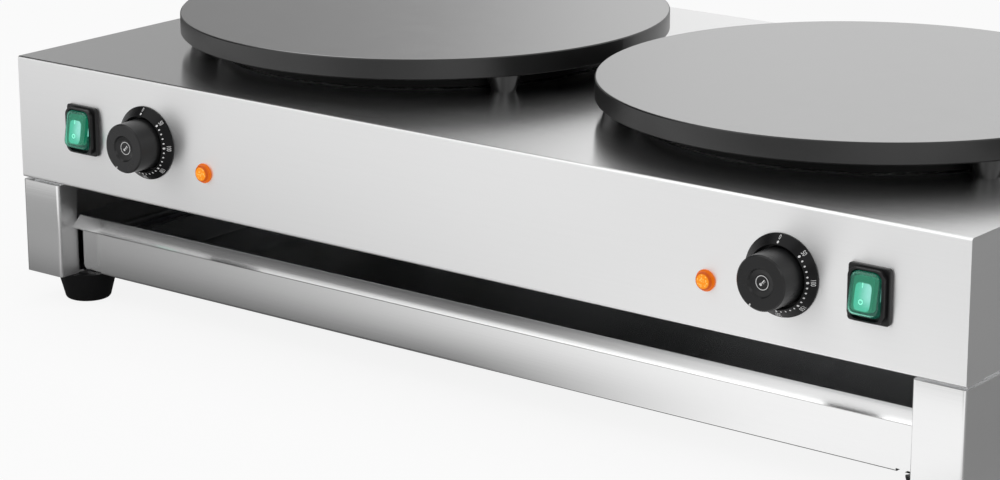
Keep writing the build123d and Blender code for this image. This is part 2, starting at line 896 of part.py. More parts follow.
def make_wiring(sign):
    """Leads of one side: supply, switch to thermostat, lamp, and thermostat to the elements."""
    place_x, place_y = block_place()
    low = body_bottom + wire_level
    switch_end = front + switch_depth + blade_length
    dial_end = front + body_sheet + bracket_sheet + thermostat_depth + blade_length
    lamp_end = front + lamp_depth + blade_length
    from_x = place_x + sign * block_pitch
    run_x = sign * (switch_x + wire_margin)
    pole_x = sign * (switch_x - switch_blade_row / 2)
    near_x = sign * (dial_x - blade_pitch / 2)
    far_x = sign * (dial_x + blade_pitch / 2)
    upper = panel_middle + blade_row / 2
    lower = panel_middle - blade_row / 2
    lamp_z = panel_middle - lamp_drop
    leg_x, leg_y = leg_runs()[3][1]
    pin_x = sign * (plate_spacing / 2 + leg_x)
    pin_y = plate_shift + leg_y
    pin_z = plate_under - element_radius - element_bend - element_leg - pin_length
    feed_z = panel_middle - blade_pitch
    supply = [
        (from_x, place_y, low),
        (from_x, place_y - wire_loop, low),
        (run_x, place_y - wire_loop, low),
        (run_x, switch_end + wire_loop, low),
        (pole_x, switch_end + wire_loop, panel_middle - blade_pitch / 2),
        (pole_x, switch_end, panel_middle - blade_pitch / 2),
    ]
    bridge = [
        (pole_x, switch_end, panel_middle + blade_pitch / 2),
        (pole_x, switch_end + wire_loop, panel_middle + blade_pitch / 2),
        (far_x, dial_end + wire_loop, upper),
        (far_x, dial_end, upper),
    ]
    lamp = [
        (near_x, dial_end, lower),
        (near_x, dial_end + wire_loop, lower),
        (sign * lamp_x, lamp_end + wire_loop, lamp_z + lamp_blade_row / 2),
        (sign * lamp_x, lamp_end, lamp_z + lamp_blade_row / 2),
    ]
    feed = [
        (near_x, dial_end, upper),
        (near_x, dial_end + wire_loop, upper),
        (pin_x, pin_y - 2 * wire_loop, feed_z),
        (pin_x, pin_y, feed_z),
        (pin_x, pin_y, pin_z),
    ]
    return [tube(points, wire_radius, wire_bend) for points in (supply, bridge, lamp, feed)]


# ---- base, slides, drawer and feet ----

def make_base_side():
    """Right side of the base: folded into a leg at each end, with a flange above and below."""
    inner = edge - leg_width
    points = [
        (inner, front + leg_return),
        (inner, front),
        (edge, front),
        (edge, back),
        (inner, back),
        (inner, back - leg_return),
    ]
    side = folded(points, base_sheet, base_bend, "Z", (base_bottom, base_top), Side.LEFT)
    inside_x = (inner + base_sheet, edge - base_sheet)
    inside_y = (front + base_sheet, back - base_sheet)
    side += block(inside_x, inside_y, (base_top - base_sheet, base_top))
    side += block(inside_x, inside_y, (base_bottom, base_bottom + base_sheet))
    wide_x = (edge - base_flange, edge - base_sheet)
    clear_y = leg_return + base_flange_setback
    side += block(wide_x, (front + clear_y, back - clear_y), (base_bottom, base_bottom + base_sheet))
    for x, y in base_bolt_spots():
        side -= disc(m6_radius + hole_gap, base_top - base_sheet, base_top, x, y)
    for x, y in foot_spots().values():
        side -= disc(m6_radius + hole_gap, base_bottom, base_bottom + base_sheet, x, y)
    return side


def make_base_back():
    """Back of the base, folded forward along the legs' returns."""
    x = edge - leg_width
    forward = back - leg_return + base_sheet
    points = [(-x, forward), (-x, back - base_sheet), (x, back - base_sheet), (x, forward)]
    return folded(points, base_sheet, base_bend, "Z", (base_bottom, base_top))


def make_runner_bracket():
    """Right-hand folded bracket between the base's side and the drawer slide."""
    low = base_bottom + base_sheet
    high = low + bracket_height
    points = [
        (high, edge - base_sheet),
        (high, bracket_x),
        (low, bracket_x),
        (low, bracket_x + bracket_foot),
    ]
    span = (slide_front - bracket_overhang, slide_front + slide_length + bracket_overhang)
    return folded(points, base_sheet, base_bend, "Y", span)


def make_slide_rail():
    """Right-hand fixed member of the ball slide, open towards the drawer."""
    low = slide_middle - slide_height / 2
    high = slide_middle + slide_height / 2
    mouth = bracket_x - rail_mouth
    points = [
        (low + slide_lip, mouth),
        (low, mouth),
        (low, bracket_x),
        (high, bracket_x),
        (high, mouth),
        (high - slide_lip, mouth),
    ]
    return folded(points, slide_sheet, slide_bend, "Y", (slide_front, slide_front + slide_length))


def race_height():
    """Height of a ball's middle above or below the slide's middle."""
    return slide_height / 2 - slide_sheet - ball_gap - ball_radius


def make_slide_runner():
    """Right-hand moving member of the ball slide, on the drawer's wall."""
    half = race_height() - ball_radius - ball_gap
    outer = tray_half + runner_mouth
    points = [
        (slide_middle - half + slide_lip, outer),
        (slide_middle - half, outer),
        (slide_middle - half, tray_half),
        (slide_middle + half, tray_half),
        (slide_middle + half, outer),
        (slide_middle + half - slide_lip, outer),
    ]
    span = (slide_front, slide_front + slide_length)
    return folded(points, slide_sheet, slide_bend, "Y", span, Side.LEFT)


def make_ball_cage():
    """Right-hand cage between the slide's members, and its balls."""
    length = slide_length - drawer_travel
    start = slide_front + drawer_travel / 2
    ball_x = tray_half + slide_thickness / 2
    half = race_height() + cage_sheet / 2
    web = bracket_x - slide_sheet - cage_gap
    points = [
        (slide_middle - half, ball_x - cage_wrap),
        (slide_middle - half, web),
        (slide_middle + half, web),
        (slide_middle + half, ball_x - cage_wrap),
    ]
    cage = folded(points, cage_sheet, slide_bend, "Y", (start, start + length))
    balls = []
    for level in (slide_middle - race_height(), slide_middle + race_height()):
        for step in range(balls_per_row):
            y = start + length * (step + 0.5) / balls_per_row
            cage -= disc(ball_radius, level - cage_sheet, level + cage_sheet, ball_x, y)
            balls.append(Pos(ball_x, y, level) * Sphere(ball_radius))
    return [cage] + balls


def make_drawer_tray():
    """Open tray with its wall tops turned in."""
    top = tray_floor + tray_wall
    points = [
        (top, tray_hem - tray_half),
        (top, -tray_half),
        (tray_floor, -tray_half),
        (tray_floor, tray_half),
        (top, tray_half),
        (top, tray_half - tray_hem),
    ]
    tray = folded(points, tray_sheet, tray_bend, "Y", (tray_front, tray_back))
    inside = tray_half - tray_sheet / 2
    wall_z = (tray_floor + tray_sheet / 2, top - tray_sheet / 2)
    tray += block((-inside, inside), (tray_front, tray_front + tray_sheet), wall_z)
    tray += block((-inside, inside), (tray_back - tray_sheet, tray_back), wall_z)
    return tray


def make_drawer_front():
    """Drawer face, hemmed back under the tray and folded forward and down into a pull lip."""
    top = drawer_bottom + drawer_front_height
    lip_y = drawer_face - lip_reach + drawer_sheet
    lip_z = top - lip_drop
    points = [
        (drawer_face + drawer_hem, drawer_bottom),
        (drawer_face, drawer_bottom),
        (drawer_face, top),
        (lip_y, lip_z),
    ]
    half = edge - leg_width - drawer_side_gap
    bends = [drawer_bend, lip_bend]
    sheet = folded(points, drawer_sheet, bends, "X", (-half, half))
    for sign in sides.values():
        span = sorted((sign * tray_half, sign * half))
        y = (drawer_face, drawer_face + drawer_hem)
        sheet -= block(span, y, (drawer_bottom, drawer_bottom + drawer_step))
    lowest = drawer_bottom + drawer_step + base_sheet
    corners = [
        corner
        for corner in sheet.edges().filter_by(Axis.Y)
        if abs(corner.center().X) > tray_half + drawer_corner and corner.center().Z < lowest
    ]
    return fillet(corners, drawer_corner)


def make_foot():
    """Tapered rubber foot about the Z axis, with a well for its screw."""
    foot = Pos(0, 0, foot_height / 2) * Cone(foot_bottom_radius, foot_top_radius, foot_height)
    foot = fillet(foot.edges().group_by(Axis.Z)[0], foot_edge)
    washer_top = foot_height / 2 + base_sheet
    foot -= disc(m6_radius + hole_gap, washer_top, foot_height)
    return foot - disc(foot_well, 0, washer_top)


end_panel = make_end_panel()
base_side = make_base_side()
runner_bracket = make_runner_bracket()
slide_rail = make_slide_rail()
slide_runner = make_slide_runner()
ball_cage = make_ball_cage()
nodes["top_shell"] = [make_top_shell()]
nodes["bottom_cover"] = [make_bottom_cover()]
nodes["m4_screws"] = make_m4_screws()
nodes["m6_bolts"] = make_m6_bolts()
nodes["plate_posts"] = make_plate_posts()
nodes["centre_studs"] = make_centre_studs()
nodes["terminal_block"] = [make_terminal_block()]
nodes["cable_gland"] = make_cable_gland()
nodes["earth_stud"] = make_earth_stud()
nodes["base_back"] = [make_base_back()]
nodes["drawer_tray"] = [make_drawer_tray()]
nodes["drawer_front"] = [make_drawer_front()]
for side, sign in sides.items():
    middle = plate_plane(sign)
    dial = on_panel(sign * dial_x)
    switch = on_panel(sign * switch_x)
    lamp = on_panel(sign * lamp_x, lamp_drop)
    loops = ((outer_loop, outer_loop_gap), (inner_loop, inner_loop_gap))
    nodes[f"end_panel_{side}"] = [sided(end_panel, sign)]
    nodes[f"baking_plate_{side}"] = [middle * make_baking_plate()]
    nodes[f"heating_elements_{side}"] = [middle * make_element(loop, gap) for loop, gap in loops]
    nodes[f"element_clamp_{side}"] = [middle * make_element_clamp(sign)]
    nodes[f"insulation_disc_{side}"] = [middle * make_insulation(sign)]
    nodes[f"heater_pan_{side}"] = [middle * make_pan(sign)]
    nodes[f"thermostat_{side}"] = make_thermostat(sign)
    nodes[f"thermostat_stem_{side}"] = [dial * make_stem()]
    nodes[f"knob_{side}"] = [dial * make_knob()]
    nodes[f"dial_ring_{side}"] = [dial * make_dial_ring()]
    nodes[f"switch_body_{side}"] = [switch * make_switch_body()]
    nodes[f"switch_frame_{side}"] = [switch * make_switch_frame()]
    nodes[f"rocker_{side}"] = [switch * make_rocker()]
    nodes[f"switch_boot_{side}"] = [switch * make_boot()]
    nodes[f"lamp_lens_{side}"] = [lamp * make_lens()]
    nodes[f"lamp_body_{side}"] = [lamp * make_lamp_body()]
    nodes[f"wiring_{side}"] = make_wiring(sign)
    nodes[f"base_side_{side}"] = [sided(base_side, sign)]
    nodes[f"runner_bracket_{side}"] = [sided(runner_bracket, sign)]
    nodes[f"slide_rail_{side}"] = [sided(slide_rail, sign)]
    nodes[f"slide_runner_{side}"] = [sided(slide_runner, sign)]
    nodes[f"ball_cage_{side}"] = [sided(piece, sign) for piece in ball_cage]
for spot, (x, y) in foot_spots().items():
    nodes[f"foot_{spot}"] = [Pos(x, y, 0) * make_foot()]

os.makedirs("parts", exist_ok=True)
for name, pieces in nodes.items():
    solids = [solid for piece in pieces for solid in piece.solids()]
    shape = solids[0] if len(solids) == 1 else Compound(solids)
    export_step(shape, f"parts/{name}.step")
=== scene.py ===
import math

import bmesh
import bpy
from mathutils import Matrix, Quaternion, Vector


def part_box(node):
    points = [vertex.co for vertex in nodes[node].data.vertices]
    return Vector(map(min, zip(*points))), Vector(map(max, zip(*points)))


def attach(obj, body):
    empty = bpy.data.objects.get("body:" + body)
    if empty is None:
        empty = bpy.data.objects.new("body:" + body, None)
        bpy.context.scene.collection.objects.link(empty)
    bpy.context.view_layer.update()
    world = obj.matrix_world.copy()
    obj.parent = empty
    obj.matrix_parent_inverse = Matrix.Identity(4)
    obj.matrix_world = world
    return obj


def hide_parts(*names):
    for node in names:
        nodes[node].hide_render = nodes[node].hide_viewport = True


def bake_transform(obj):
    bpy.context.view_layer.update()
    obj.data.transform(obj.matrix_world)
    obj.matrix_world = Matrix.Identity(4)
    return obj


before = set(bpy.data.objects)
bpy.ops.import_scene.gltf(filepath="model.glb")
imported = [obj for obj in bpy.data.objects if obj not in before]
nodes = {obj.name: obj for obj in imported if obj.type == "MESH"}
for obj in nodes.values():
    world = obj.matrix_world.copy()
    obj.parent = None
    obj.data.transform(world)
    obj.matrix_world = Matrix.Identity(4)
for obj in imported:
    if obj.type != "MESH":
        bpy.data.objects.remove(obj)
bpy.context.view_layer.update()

root = "cooker"
scene = bpy.context.scene
scene.view_settings.view_transform = "Standard"

SIDES = {"left": -1, "right": 1}


def middle_of(node):
    low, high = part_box(node)
    return (low + high) / 2


# ---- sizes, in metres and radians ----

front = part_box("top_shell")[0].y
plate_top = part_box("baking_plate_right")[1].z
dial_x = middle_of("dial_ring_right").x
switch_x = middle_of("switch_frame_right").x
lamp_x = middle_of("lamp_lens_right").x
panel_z = middle_of("dial_ring_right").z
lamp_z = middle_of("lamp_lens_right").z

# Heights over the front panel
knob_face = 0.0255
knob_dish = 0.0236
rocker_face = 0.0100
print_lift = 0.00006
rocker_print_lift = 0.00004

# The dial's cone as (distance from its axis, height over the panel), and its signs' places
DIAL_EDGE = (0.0293, 0.0010)
DIAL_TOP = (0.0232, 0.0064)
dot_radius = 0.02424
number_radius = 0.02705
turn_per_celsius = math.radians(0.9)
rest_celsius = 230

# The rocker's tilt and its pivot behind the panel's face
pivot_depth = 0.0015
tilt = math.radians(10)

mm = 1e-3


# ---- node helpers ----

class Graph:
    """Builds a material or world node tree."""

    def __init__(self, tree):
        self.tree = tree
        tree.nodes.clear()

    def add(self, kind, **inputs):
        node = self.tree.nodes.new(kind)
        for name, value in inputs.items():
            if hasattr(node, name) and name not in node.inputs:
                setattr(node, name, value)
            else:
                self.put(node, name, value)
        return node

    def put(self, node, name, value):
        socket = node.inputs[name.replace("_", " ") if isinstance(name, str) else name]
        if isinstance(value, bpy.types.NodeSocket):
            self.tree.links.new(value, socket)
        else:
            socket.default_value = value

    def math(self, op, a, b=0.0):
        node = self.tree.nodes.new("ShaderNodeMath")
        node.operation = op
        self.put(node, 0, a)
        self.put(node, 1, b)
        return node.outputs[0]

    def vector(self, op, a, b):
        node = self.tree.nodes.new("ShaderNodeVectorMath")
        node.operation = op
        self.put(node, 0, a)
        self.put(node, 3 if op == "SCALE" else 1, b)
        return node.outputs[1] if op == "DISTANCE" else node.outputs[0]

    def split(self, vector):
        """The three parts of a vector."""
        return self.add("ShaderNodeSeparateXYZ", Vector=vector).outputs

    def object_place(self):
        return self.add("ShaderNodeTexCoord").outputs["Object"]

    def noise(self, place, scale, detail=2.0, rough=0.5):
        return self.add("ShaderNodeTexNoise", Vector=place, Scale=scale, Detail=detail, Roughness=rough).outputs[0]

    def stretch(self, place, scale):
        return self.add("ShaderNodeMapping", Vector=place, Scale=scale).outputs[0]

    def remap(self, value, low, high, to_low, to_high):
        node = self.tree.nodes.new("ShaderNodeMapRange")
        for i, v in enumerate((value, low, high, to_low, to_high)):
            self.put(node, i, v)
        return node.outputs[0]

    def mix(self, share, a, b):
        node = self.tree.nodes.new("ShaderNodeMix")
        node.data_type = "RGBA"
        self.put(node, 0, share)
        self.put(node, 6, a)
        self.put(node, 7, b)
        return node.outputs[2]

    def bump(self, height, strength, distance):
        return self.add("ShaderNodeBump", Height=height, Strength=strength, Distance=distance).outputs[0]

    def ease(self, value, low, high):
        """0 at low, 1 at high, smooth between them."""
        node = self.add("ShaderNodeMapRange", interpolation_type="SMOOTHSTEP")
        ends = (1.0, 0.0) if low > high else (0.0, 1.0)
        for i, v in enumerate((value, min(low, high), max(low, high)) + ends):
            self.put(node, i, v)
        return node.outputs[0]

    def blend(self, share, a, b):
        """a where share is 0 and b where it is 1."""
        return self.math("ADD", a, self.math("MULTIPLY", share, self.math("SUBTRACT", b, a)))


def material(name, build):
    made = bpy.data.materials.new(name)
    made.use_nodes = True
    graph = Graph(made.node_tree)
    surface = build(graph)
    out = graph.add("ShaderNodeOutputMaterial")
    graph.tree.links.new(surface, out.inputs["Surface"])
    return made


def principled(graph, **inputs):
    node = graph.tree.nodes.new("ShaderNodeBsdfPrincipled")
    for name, value in inputs.items():
        graph.put(node, name, value)
    return node.outputs[0]


def grey(value):
    return (value, value, value, 1.0)


# ---- materials ----

def brushed(
    name, tone, rough, top_rough=None, end_rough=None,
    end_painted_shade=1.0, streak=0.03, grain=0.04, spread=0.0, tint=(1, 1, 1),
):
    """Sheet metal with long fine brush lines, along X on the front, back and top, and along Y on the ends.

    Its roughness may differ on faces that look up and on faces that look along X, and spread widens the
    reflections across the brush lines. The faces that look along X are drawn darker by a tone factor: painted
    shade.
    """
    along, across = 5, 900

    def build(g):
        place = g.object_place()
        normal = g.tree.nodes.new("ShaderNodeNewGeometry").outputs["Normal"]
        facing = g.split(normal)
        end = g.math("GREATER_THAN", g.math("ABSOLUTE", facing[0]), 0.7)
        along_x = g.noise(g.stretch(place, (along, across, across)), 1.0, 3.0, 0.6)
        along_y = g.noise(g.stretch(place, (across, along, across)), 1.0, 3.0, 0.6)
        lines = g.blend(end, along_x, along_y)
        cloud = g.noise(place, 5.0)
        value = g.math("ADD", g.math("MULTIPLY", lines, streak), g.math("MULTIPLY", cloud, streak))
        shade = g.remap(value, 0.0, 2 * streak, 1 - streak, 1 + streak)
        # Painted shade: the faces that look along X are drawn darker by the ends' tone factor
        shade = g.math("MULTIPLY", shade, g.blend(end, 1.0, end_painted_shade))
        colour = g.vector("SCALE", tuple(tone * t for t in tint), shade)
        level = g.remap(
            g.math("ABSOLUTE", facing[2]), 0.3, 0.9, rough, rough if top_rough is None else top_rough)
        level = g.blend(end, level, rough if end_rough is None else end_rough)
        roughness = g.math("ADD", g.math("MULTIPLY", lines, grain), g.math("SUBTRACT", level, grain / 2))
        brush = g.add("ShaderNodeCombineXYZ", X=g.math("SUBTRACT", 1.0, end), Y=end, Z=0.0).outputs[0]
        return principled(
            g, Base_Color=colour, Metallic=1.0, Roughness=roughness, Anisotropic=spread,
            Tangent=g.vector("CROSS_PRODUCT", normal, brush), Normal=g.bump(lines, 0.05, 0.0002),
        )
    return material(name, build)


def cast(name):
    """Cast iron: the baking face is turned smooth, and the rim and underside keep a dark seasoned skin."""
    def build(g):
        place = g.object_place()
        face = g.remap(g.split(place)[2], plate_top - 0.0003, plate_top - 0.0001, 0.0, 1.0)
        mottle = g.noise(place, 45.0, 4.0, 0.6)
        fine = g.noise(place, 900.0)
        skin = g.mix(mottle, grey(0.005), grey(0.011))
        turned = g.mix(mottle, grey(0.40), grey(0.46))
        roughness = g.math("ADD", g.math("MULTIPLY", mottle, 0.06), g.remap(face, 0.0, 1.0, 0.28, 0.22))
        relief = g.math("ADD", g.math("MULTIPLY", mottle, 0.3), g.math("MULTIPLY", fine, 0.7))
        return principled(
            g, Base_Color=g.mix(face, skin, turned), Metallic=face, Roughness=roughness,
            Specular_IOR_Level=0.65, Normal=g.bump(relief, 0.05, 0.0003),
        )
    return material(name, build)


def plastic(name, colour, rough, relief=0.12, size=1500.0, shine=0.5):
    """Moulded plastic or rubber with a fine spark-eroded texture."""
    speck = 0.15

    def build(g):
        place = g.object_place()
        cloud = g.noise(place, 40.0)
        dark = tuple(c * (1 - speck) for c in colour) + (1.0,)
        pale = tuple(c * (1 + speck) for c in colour) + (1.0,)
        return principled(
            g, Base_Color=g.mix(cloud, dark, pale),
            Roughness=g.math("ADD", g.math("MULTIPLY", cloud, 0.08), rough - 0.04),
            Specular_IOR_Level=shine, Normal=g.bump(g.noise(place, size), relief, 0.0002),
        )
    return material(name, build)


def printed(name, tone):
    """White print."""
    def build(g):
        cloud = g.noise(g.object_place(), 800.0)
        return principled(g, Base_Color=g.mix(cloud, grey(tone * 0.9), grey(tone)), Roughness=0.5)
    return material(name, build)


def lit_print(name):
    """White sign that the light behind it shines through."""
    def build(g):
        cloud = g.noise(g.object_place(), 800.0)
        tone = g.mix(cloud, grey(0.9), grey(1.0))
        return principled(g, Base_Color=tone, Roughness=0.4, Emission_Color=tone, Emission_Strength=0.75)
    return material(name, build)


def lit_cover(name):
    """Clear green cover that the light behind it fills."""
    def build(g):
        cloud = g.noise(g.object_place(), 200.0)
        return principled(
            g, Base_Color=g.mix(cloud, (0.32, 0.86, 0.68, 1), (0.38, 0.92, 0.74, 1)), Roughness=0.05,
            IOR=1.45, Transmission_Weight=0.96, Specular_IOR_Level=0.3,
            Emission_Color=(0.0, 0.30, 0.20, 1), Emission_Strength=0.05,
        )
    return material(name, build)


def lit_rocker(name, x):
    """Lit rocker: a pale window in its middle, with a painted highlight at its upper right, and deep green round
    it.
    """
    half_width, half_height = 0.0064, 0.0094
    squareness = 5.0

    def build(g):
        place = g.object_place()
        spot = g.split(place)
        across = g.math("SUBTRACT", spot[0], x)
        rise = g.math("SUBTRACT", spot[2], panel_z)
        wide = g.math("POWER", g.math("DIVIDE", g.math("ABSOLUTE", across), half_width), squareness)
        tall = g.math("POWER", g.math("DIVIDE", g.math("ABSOLUTE", rise), half_height), squareness)
        window = g.ease(g.math("ADD", wide, tall), 1.10, 0.70)
        # Painted highlight: the window turns near white towards its upper right
        shine = g.math("MULTIPLY", g.ease(across, -0.0050, 0.0054), g.ease(rise, -0.0095, 0.0010))
        painted_highlight = g.math("ADD", shine, g.math("MULTIPLY", g.noise(place, 700.0), 0.12))
        lit = g.mix(painted_highlight, (0.14, 0.56, 0.44, 1), (1.0, 0.90, 1.0, 1))
        return principled(
            g, Base_Color=(0.01, 0.05, 0.035, 1), Roughness=g.remap(window, 0.0, 1.0, 0.30, 0.22),
            Emission_Color=g.mix(window, (0.0, 0.13, 0.075, 1), lit), Emission_Strength=0.9,
        )
    return material(name, build)


def lit_lens(name, middle):
    """Lit amber lens: bright grains on deep orange, with a dark groove between its dome and its flange."""
    def build(g):
        place = g.object_place()
        away = g.vector("DISTANCE", place, middle)
        grain = g.add("ShaderNodeTexVoronoi", Vector=place, Scale=620.0, Randomness=0.7)
        bright = g.ease(grain.outputs["Distance"], 0.50, 0.12)
        dome = g.mix(bright, (0.92, 0.30, 0.006, 1), (1.0, 0.66, 0.16, 1))
        groove = g.mix(g.ease(away, 0.0052, 0.0060), dome, (0.46, 0.07, 0.0, 1))
        colour = g.mix(g.ease(away, 0.0065, 0.0069), groove, (0.64, 0.13, 0.0, 1))
        return principled(
            g, Base_Color=(0.20, 0.03, 0.0, 1), Roughness=g.remap(bright, 0.0, 1.0, 0.20, 0.12),
            Specular_IOR_Level=0.25, Emission_Color=colour, Emission_Strength=0.9,
        )
    return material(name, build)


# The ends of both steels are drawn darker than their fronts and tops: painted shade
steel = brushed("steel_brushed", 0.92, 0.37, 0.18, 0.32, end_painted_shade=0.80, spread=0.85)
steel_base = brushed("steel_base", 0.92, 0.13, 0.16, 0.45, end_painted_shade=0.70)
# A darker copy of the steel for the drawer tray and the bottom cover, which sit in shade: painted shade
steel_painted_shade = brushed("steel_painted_shade", 0.60, 0.22, streak=0.06, tint=(0.98, 0.99, 1.0))
steel_dull = brushed("steel_dull", 0.6, 0.30, streak=0.06, tint=(0.97, 0.99, 1.0))
steel_bright = brushed("steel_turned", 0.66, 0.25)
sheath = brushed("element_sheath", 0.05, 0.5, streak=0.1, tint=(1.0, 0.93, 0.86))
zinc = brushed("zinc_fasteners", 0.62, 0.28, tint=(0.98, 0.99, 1.0))
iron = cast("cast_iron_seasoned")
# The heater pan is drawn near black so that the space under the plates looks dark: painted shade
pan_black_shade = plastic("pan_painted_shade", (0.004, 0.004, 0.004), 0.5, shine=0.15)
knob_black = plastic("knob_plastic", (0.016, 0.016, 0.0165), 0.28, relief=0.03, shine=0.32)
dial_black = plastic("dial_plastic", (0.004, 0.004, 0.0045), 0.26, relief=0.02, shine=0.18)
frame_black = plastic("switch_plastic", (0.007, 0.007, 0.0075), 0.32, relief=0.04, shine=0.4)
moulded_black = plastic("moulded_black", (0.03, 0.03, 0.032), 0.5)
moulded_cream = plastic("moulded_cream", (0.70, 0.66, 0.55), 0.5)
rubber = plastic("foot_rubber", (0.005, 0.005, 0.0055), 0.5, relief=0.15, size=900.0, shine=0.3)
sleeve = plastic("silicone_sleeve", (0.60, 0.57, 0.48), 0.45)
fibre = plastic("mineral_fibre", (0.20, 0.19, 0.17), 0.9, relief=0.8, size=350.0)
print_white = printed("print_white", 0.85)
boot_look = lit_cover("boot_clear_green")
print_lit = lit_print("print_lit")

# A node takes the look of the longest name here that its own name starts with. The rockers get theirs later,
# and the lenses and covers are replaced.
LOOKS = {
    steel: ("top_shell", "end_panel"),
    steel_base: ("base_side", "base_back", "drawer_front"),
    steel_painted_shade: ("drawer_tray", "bottom_cover"),
    steel_dull: ("element_clamp", "runner_bracket"),
    steel_bright: ("thermostat_stem",),
    zinc: ("slide_rail", "slide_runner", "ball_cage", "m4_screws", "m6_bolts", "centre_studs", "earth_stud"),
    sheath: ("heating_elements",),
    iron: ("baking_plate", "plate_posts"),
    pan_black_shade: ("heater_pan",),
    knob_black: ("knob",),
    dial_black: ("dial_ring",),
    frame_black: ("switch_frame",),
    moulded_black: ("switch_body", "lamp_body", "cable_gland"),
    moulded_cream: ("terminal_block", "thermostat"),
    rubber: ("foot",),
    sleeve: ("wiring",),
    fibre: ("insulation_disc",),
}


def wear(thing, look):
    """Put one look on all of a node."""
    if not thing.material_slots:
        thing.data.materials.append(look)
    for slot in thing.material_slots:
        slot.material = look


for node_name, thing in nodes.items():
    fitting = {
        len(start): look for look, starts in LOOKS.items()
        for start in starts if node_name.startswith(start)
    }
    if fitting:
        wear(thing, fitting[max(fitting)])


# ---- pieces ----

def panel_matrix(x, z):
    """From panel coordinates (x right, y up, z out of the panel) to the shared frame."""
    return Matrix((
        (1, 0, 0, x),
        (0, 0, -1, front),
        (0, 1, 0, z),
        (0, 0, 0, 1),
    ))


def tilt_about_pivot(angle):
    """Turn about the rocker's pivot, in panel coordinates, so that the upper end goes in."""
    there = Matrix.Translation((0, 0, pivot_depth))
    back = Matrix.Translation((0, 0, -pivot_depth))
    return back @ Matrix.Rotation(-angle, 4, "X") @ there


def add_mesh(name, verts, faces, look, body, slot=None):
    mesh = bpy.data.meshes.new(name)
    mesh.from_pydata([tuple(v) for v in verts], [], faces)
    mesh.validate()
    mesh.update()
    piece = bpy.data.objects.new(name, mesh)
    scene.collection.objects.link(piece)
    piece.data.materials.append(look)
    if body:
        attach(piece, body)
    return piece


def joined(shapes):
    """Vertices and faces of several shapes, each with the function that lays its points."""
    verts, faces = [], []
    for (points, polys), lay in shapes:
        start = len(verts)
        verts += [lay(Vector(p)) for p in points]
        faces += [[start + i for i in poly] for poly in polys]
    return verts, faces


def disc_shape(radius, centre=(0, 0), height=0.0):
    sides = 20
    points = [(*centre, height)]
    for i in range(sides):
        a = 2 * math.pi * i / sides
        points.append((centre[0] + radius * math.cos(a), centre[1] + radius * math.sin(a), height))
    return points, [[0, i + 1, (i + 1) % sides + 1] for i in range(sides)]


def ring_shape(inner, outer, centre, height, sides):
    points, polys = [], []
    for i in range(sides):
        a = 2 * math.pi * i / sides
        for r in (inner, outer):
            points.append((centre[0] + r * math.cos(a), centre[1] + r * math.sin(a), height))
        j = (i + 1) % sides
        polys.append([2 * i, 2 * i + 1, 2 * j + 1, 2 * j])
    return points, polys


def bar_shape(x0, x1, y0, y1, height):
    return [(x0, y0, height), (x1, y0, height), (x1, y1, height), (x0, y1, height)], [[0, 1, 2, 3]]


def text_shape(text, height, width):
    """A word centred on the origin, its letters' width scaled."""
    curve = bpy.data.curves.new("word", "FONT")
    curve.body = text
    curve.size = height
    curve.align_x = "CENTER"
    curve.align_y = "CENTER"
    curve.resolution_u = 3
    word = bpy.data.objects.new("word", curve)
    scene.collection.objects.link(word)
    bpy.context.view_layer.update()
    mesh = bpy.data.meshes.new_from_object(word.evaluated_get(bpy.context.evaluated_depsgraph_get()))
    bm = bmesh.new()
    bm.from_mesh(mesh)
    bmesh.ops.triangulate(bm, faces=bm.faces[:])
    bmesh.ops.subdivide_edges(bm, edges=bm.edges[:], cuts=1)
    bm.verts.ensure_lookup_table()
    points = [(v.co.x * width, v.co.y, 0.0) for v in bm.verts]
    polys = [[v.index for v in f.verts] for f in bm.faces]
    bm.free()
    bpy.data.objects.remove(word)
    bpy.data.curves.remove(curve)
    bpy.data.meshes.remove(mesh)
    return points, polys


def dial_height(radius):
    """Height of the dial's cone over the panel at a distance from its axis."""
    (r0, h0), (r1, h1) = DIAL_EDGE, DIAL_TOP
    return h0 + (r0 - radius) / (r0 - r1) * (h1 - h0)


def dial_marks(side, sign):
    """Dots each 10 degrees Celsius, and a bigger one with its number each 50, on the dial's cone."""
    place = panel_matrix(sign * dial_x, panel_z)

    def wrapped(celsius, radius):
        def lay(p):
            r = radius + p.y
            a = celsius * turn_per_celsius + p.x / radius
            return place @ Vector((r * math.sin(a), r * math.cos(a), dial_height(r) + print_lift))
        return lay

    shapes = []
    for celsius in range(0, 301, 10):
        if celsius % 50 == 0:
            shapes.append((disc_shape(0.00078), wrapped(celsius, dot_radius)))
            shapes.append((text_shape(str(celsius), 0.0039, 0.82), wrapped(celsius, number_radius)))
        elif celsius > 50:
            shapes.append((disc_shape(0.00058), wrapped(celsius, dot_radius)))
    add_mesh(f"dial_marks_{side}", *joined(shapes), print_white, root)


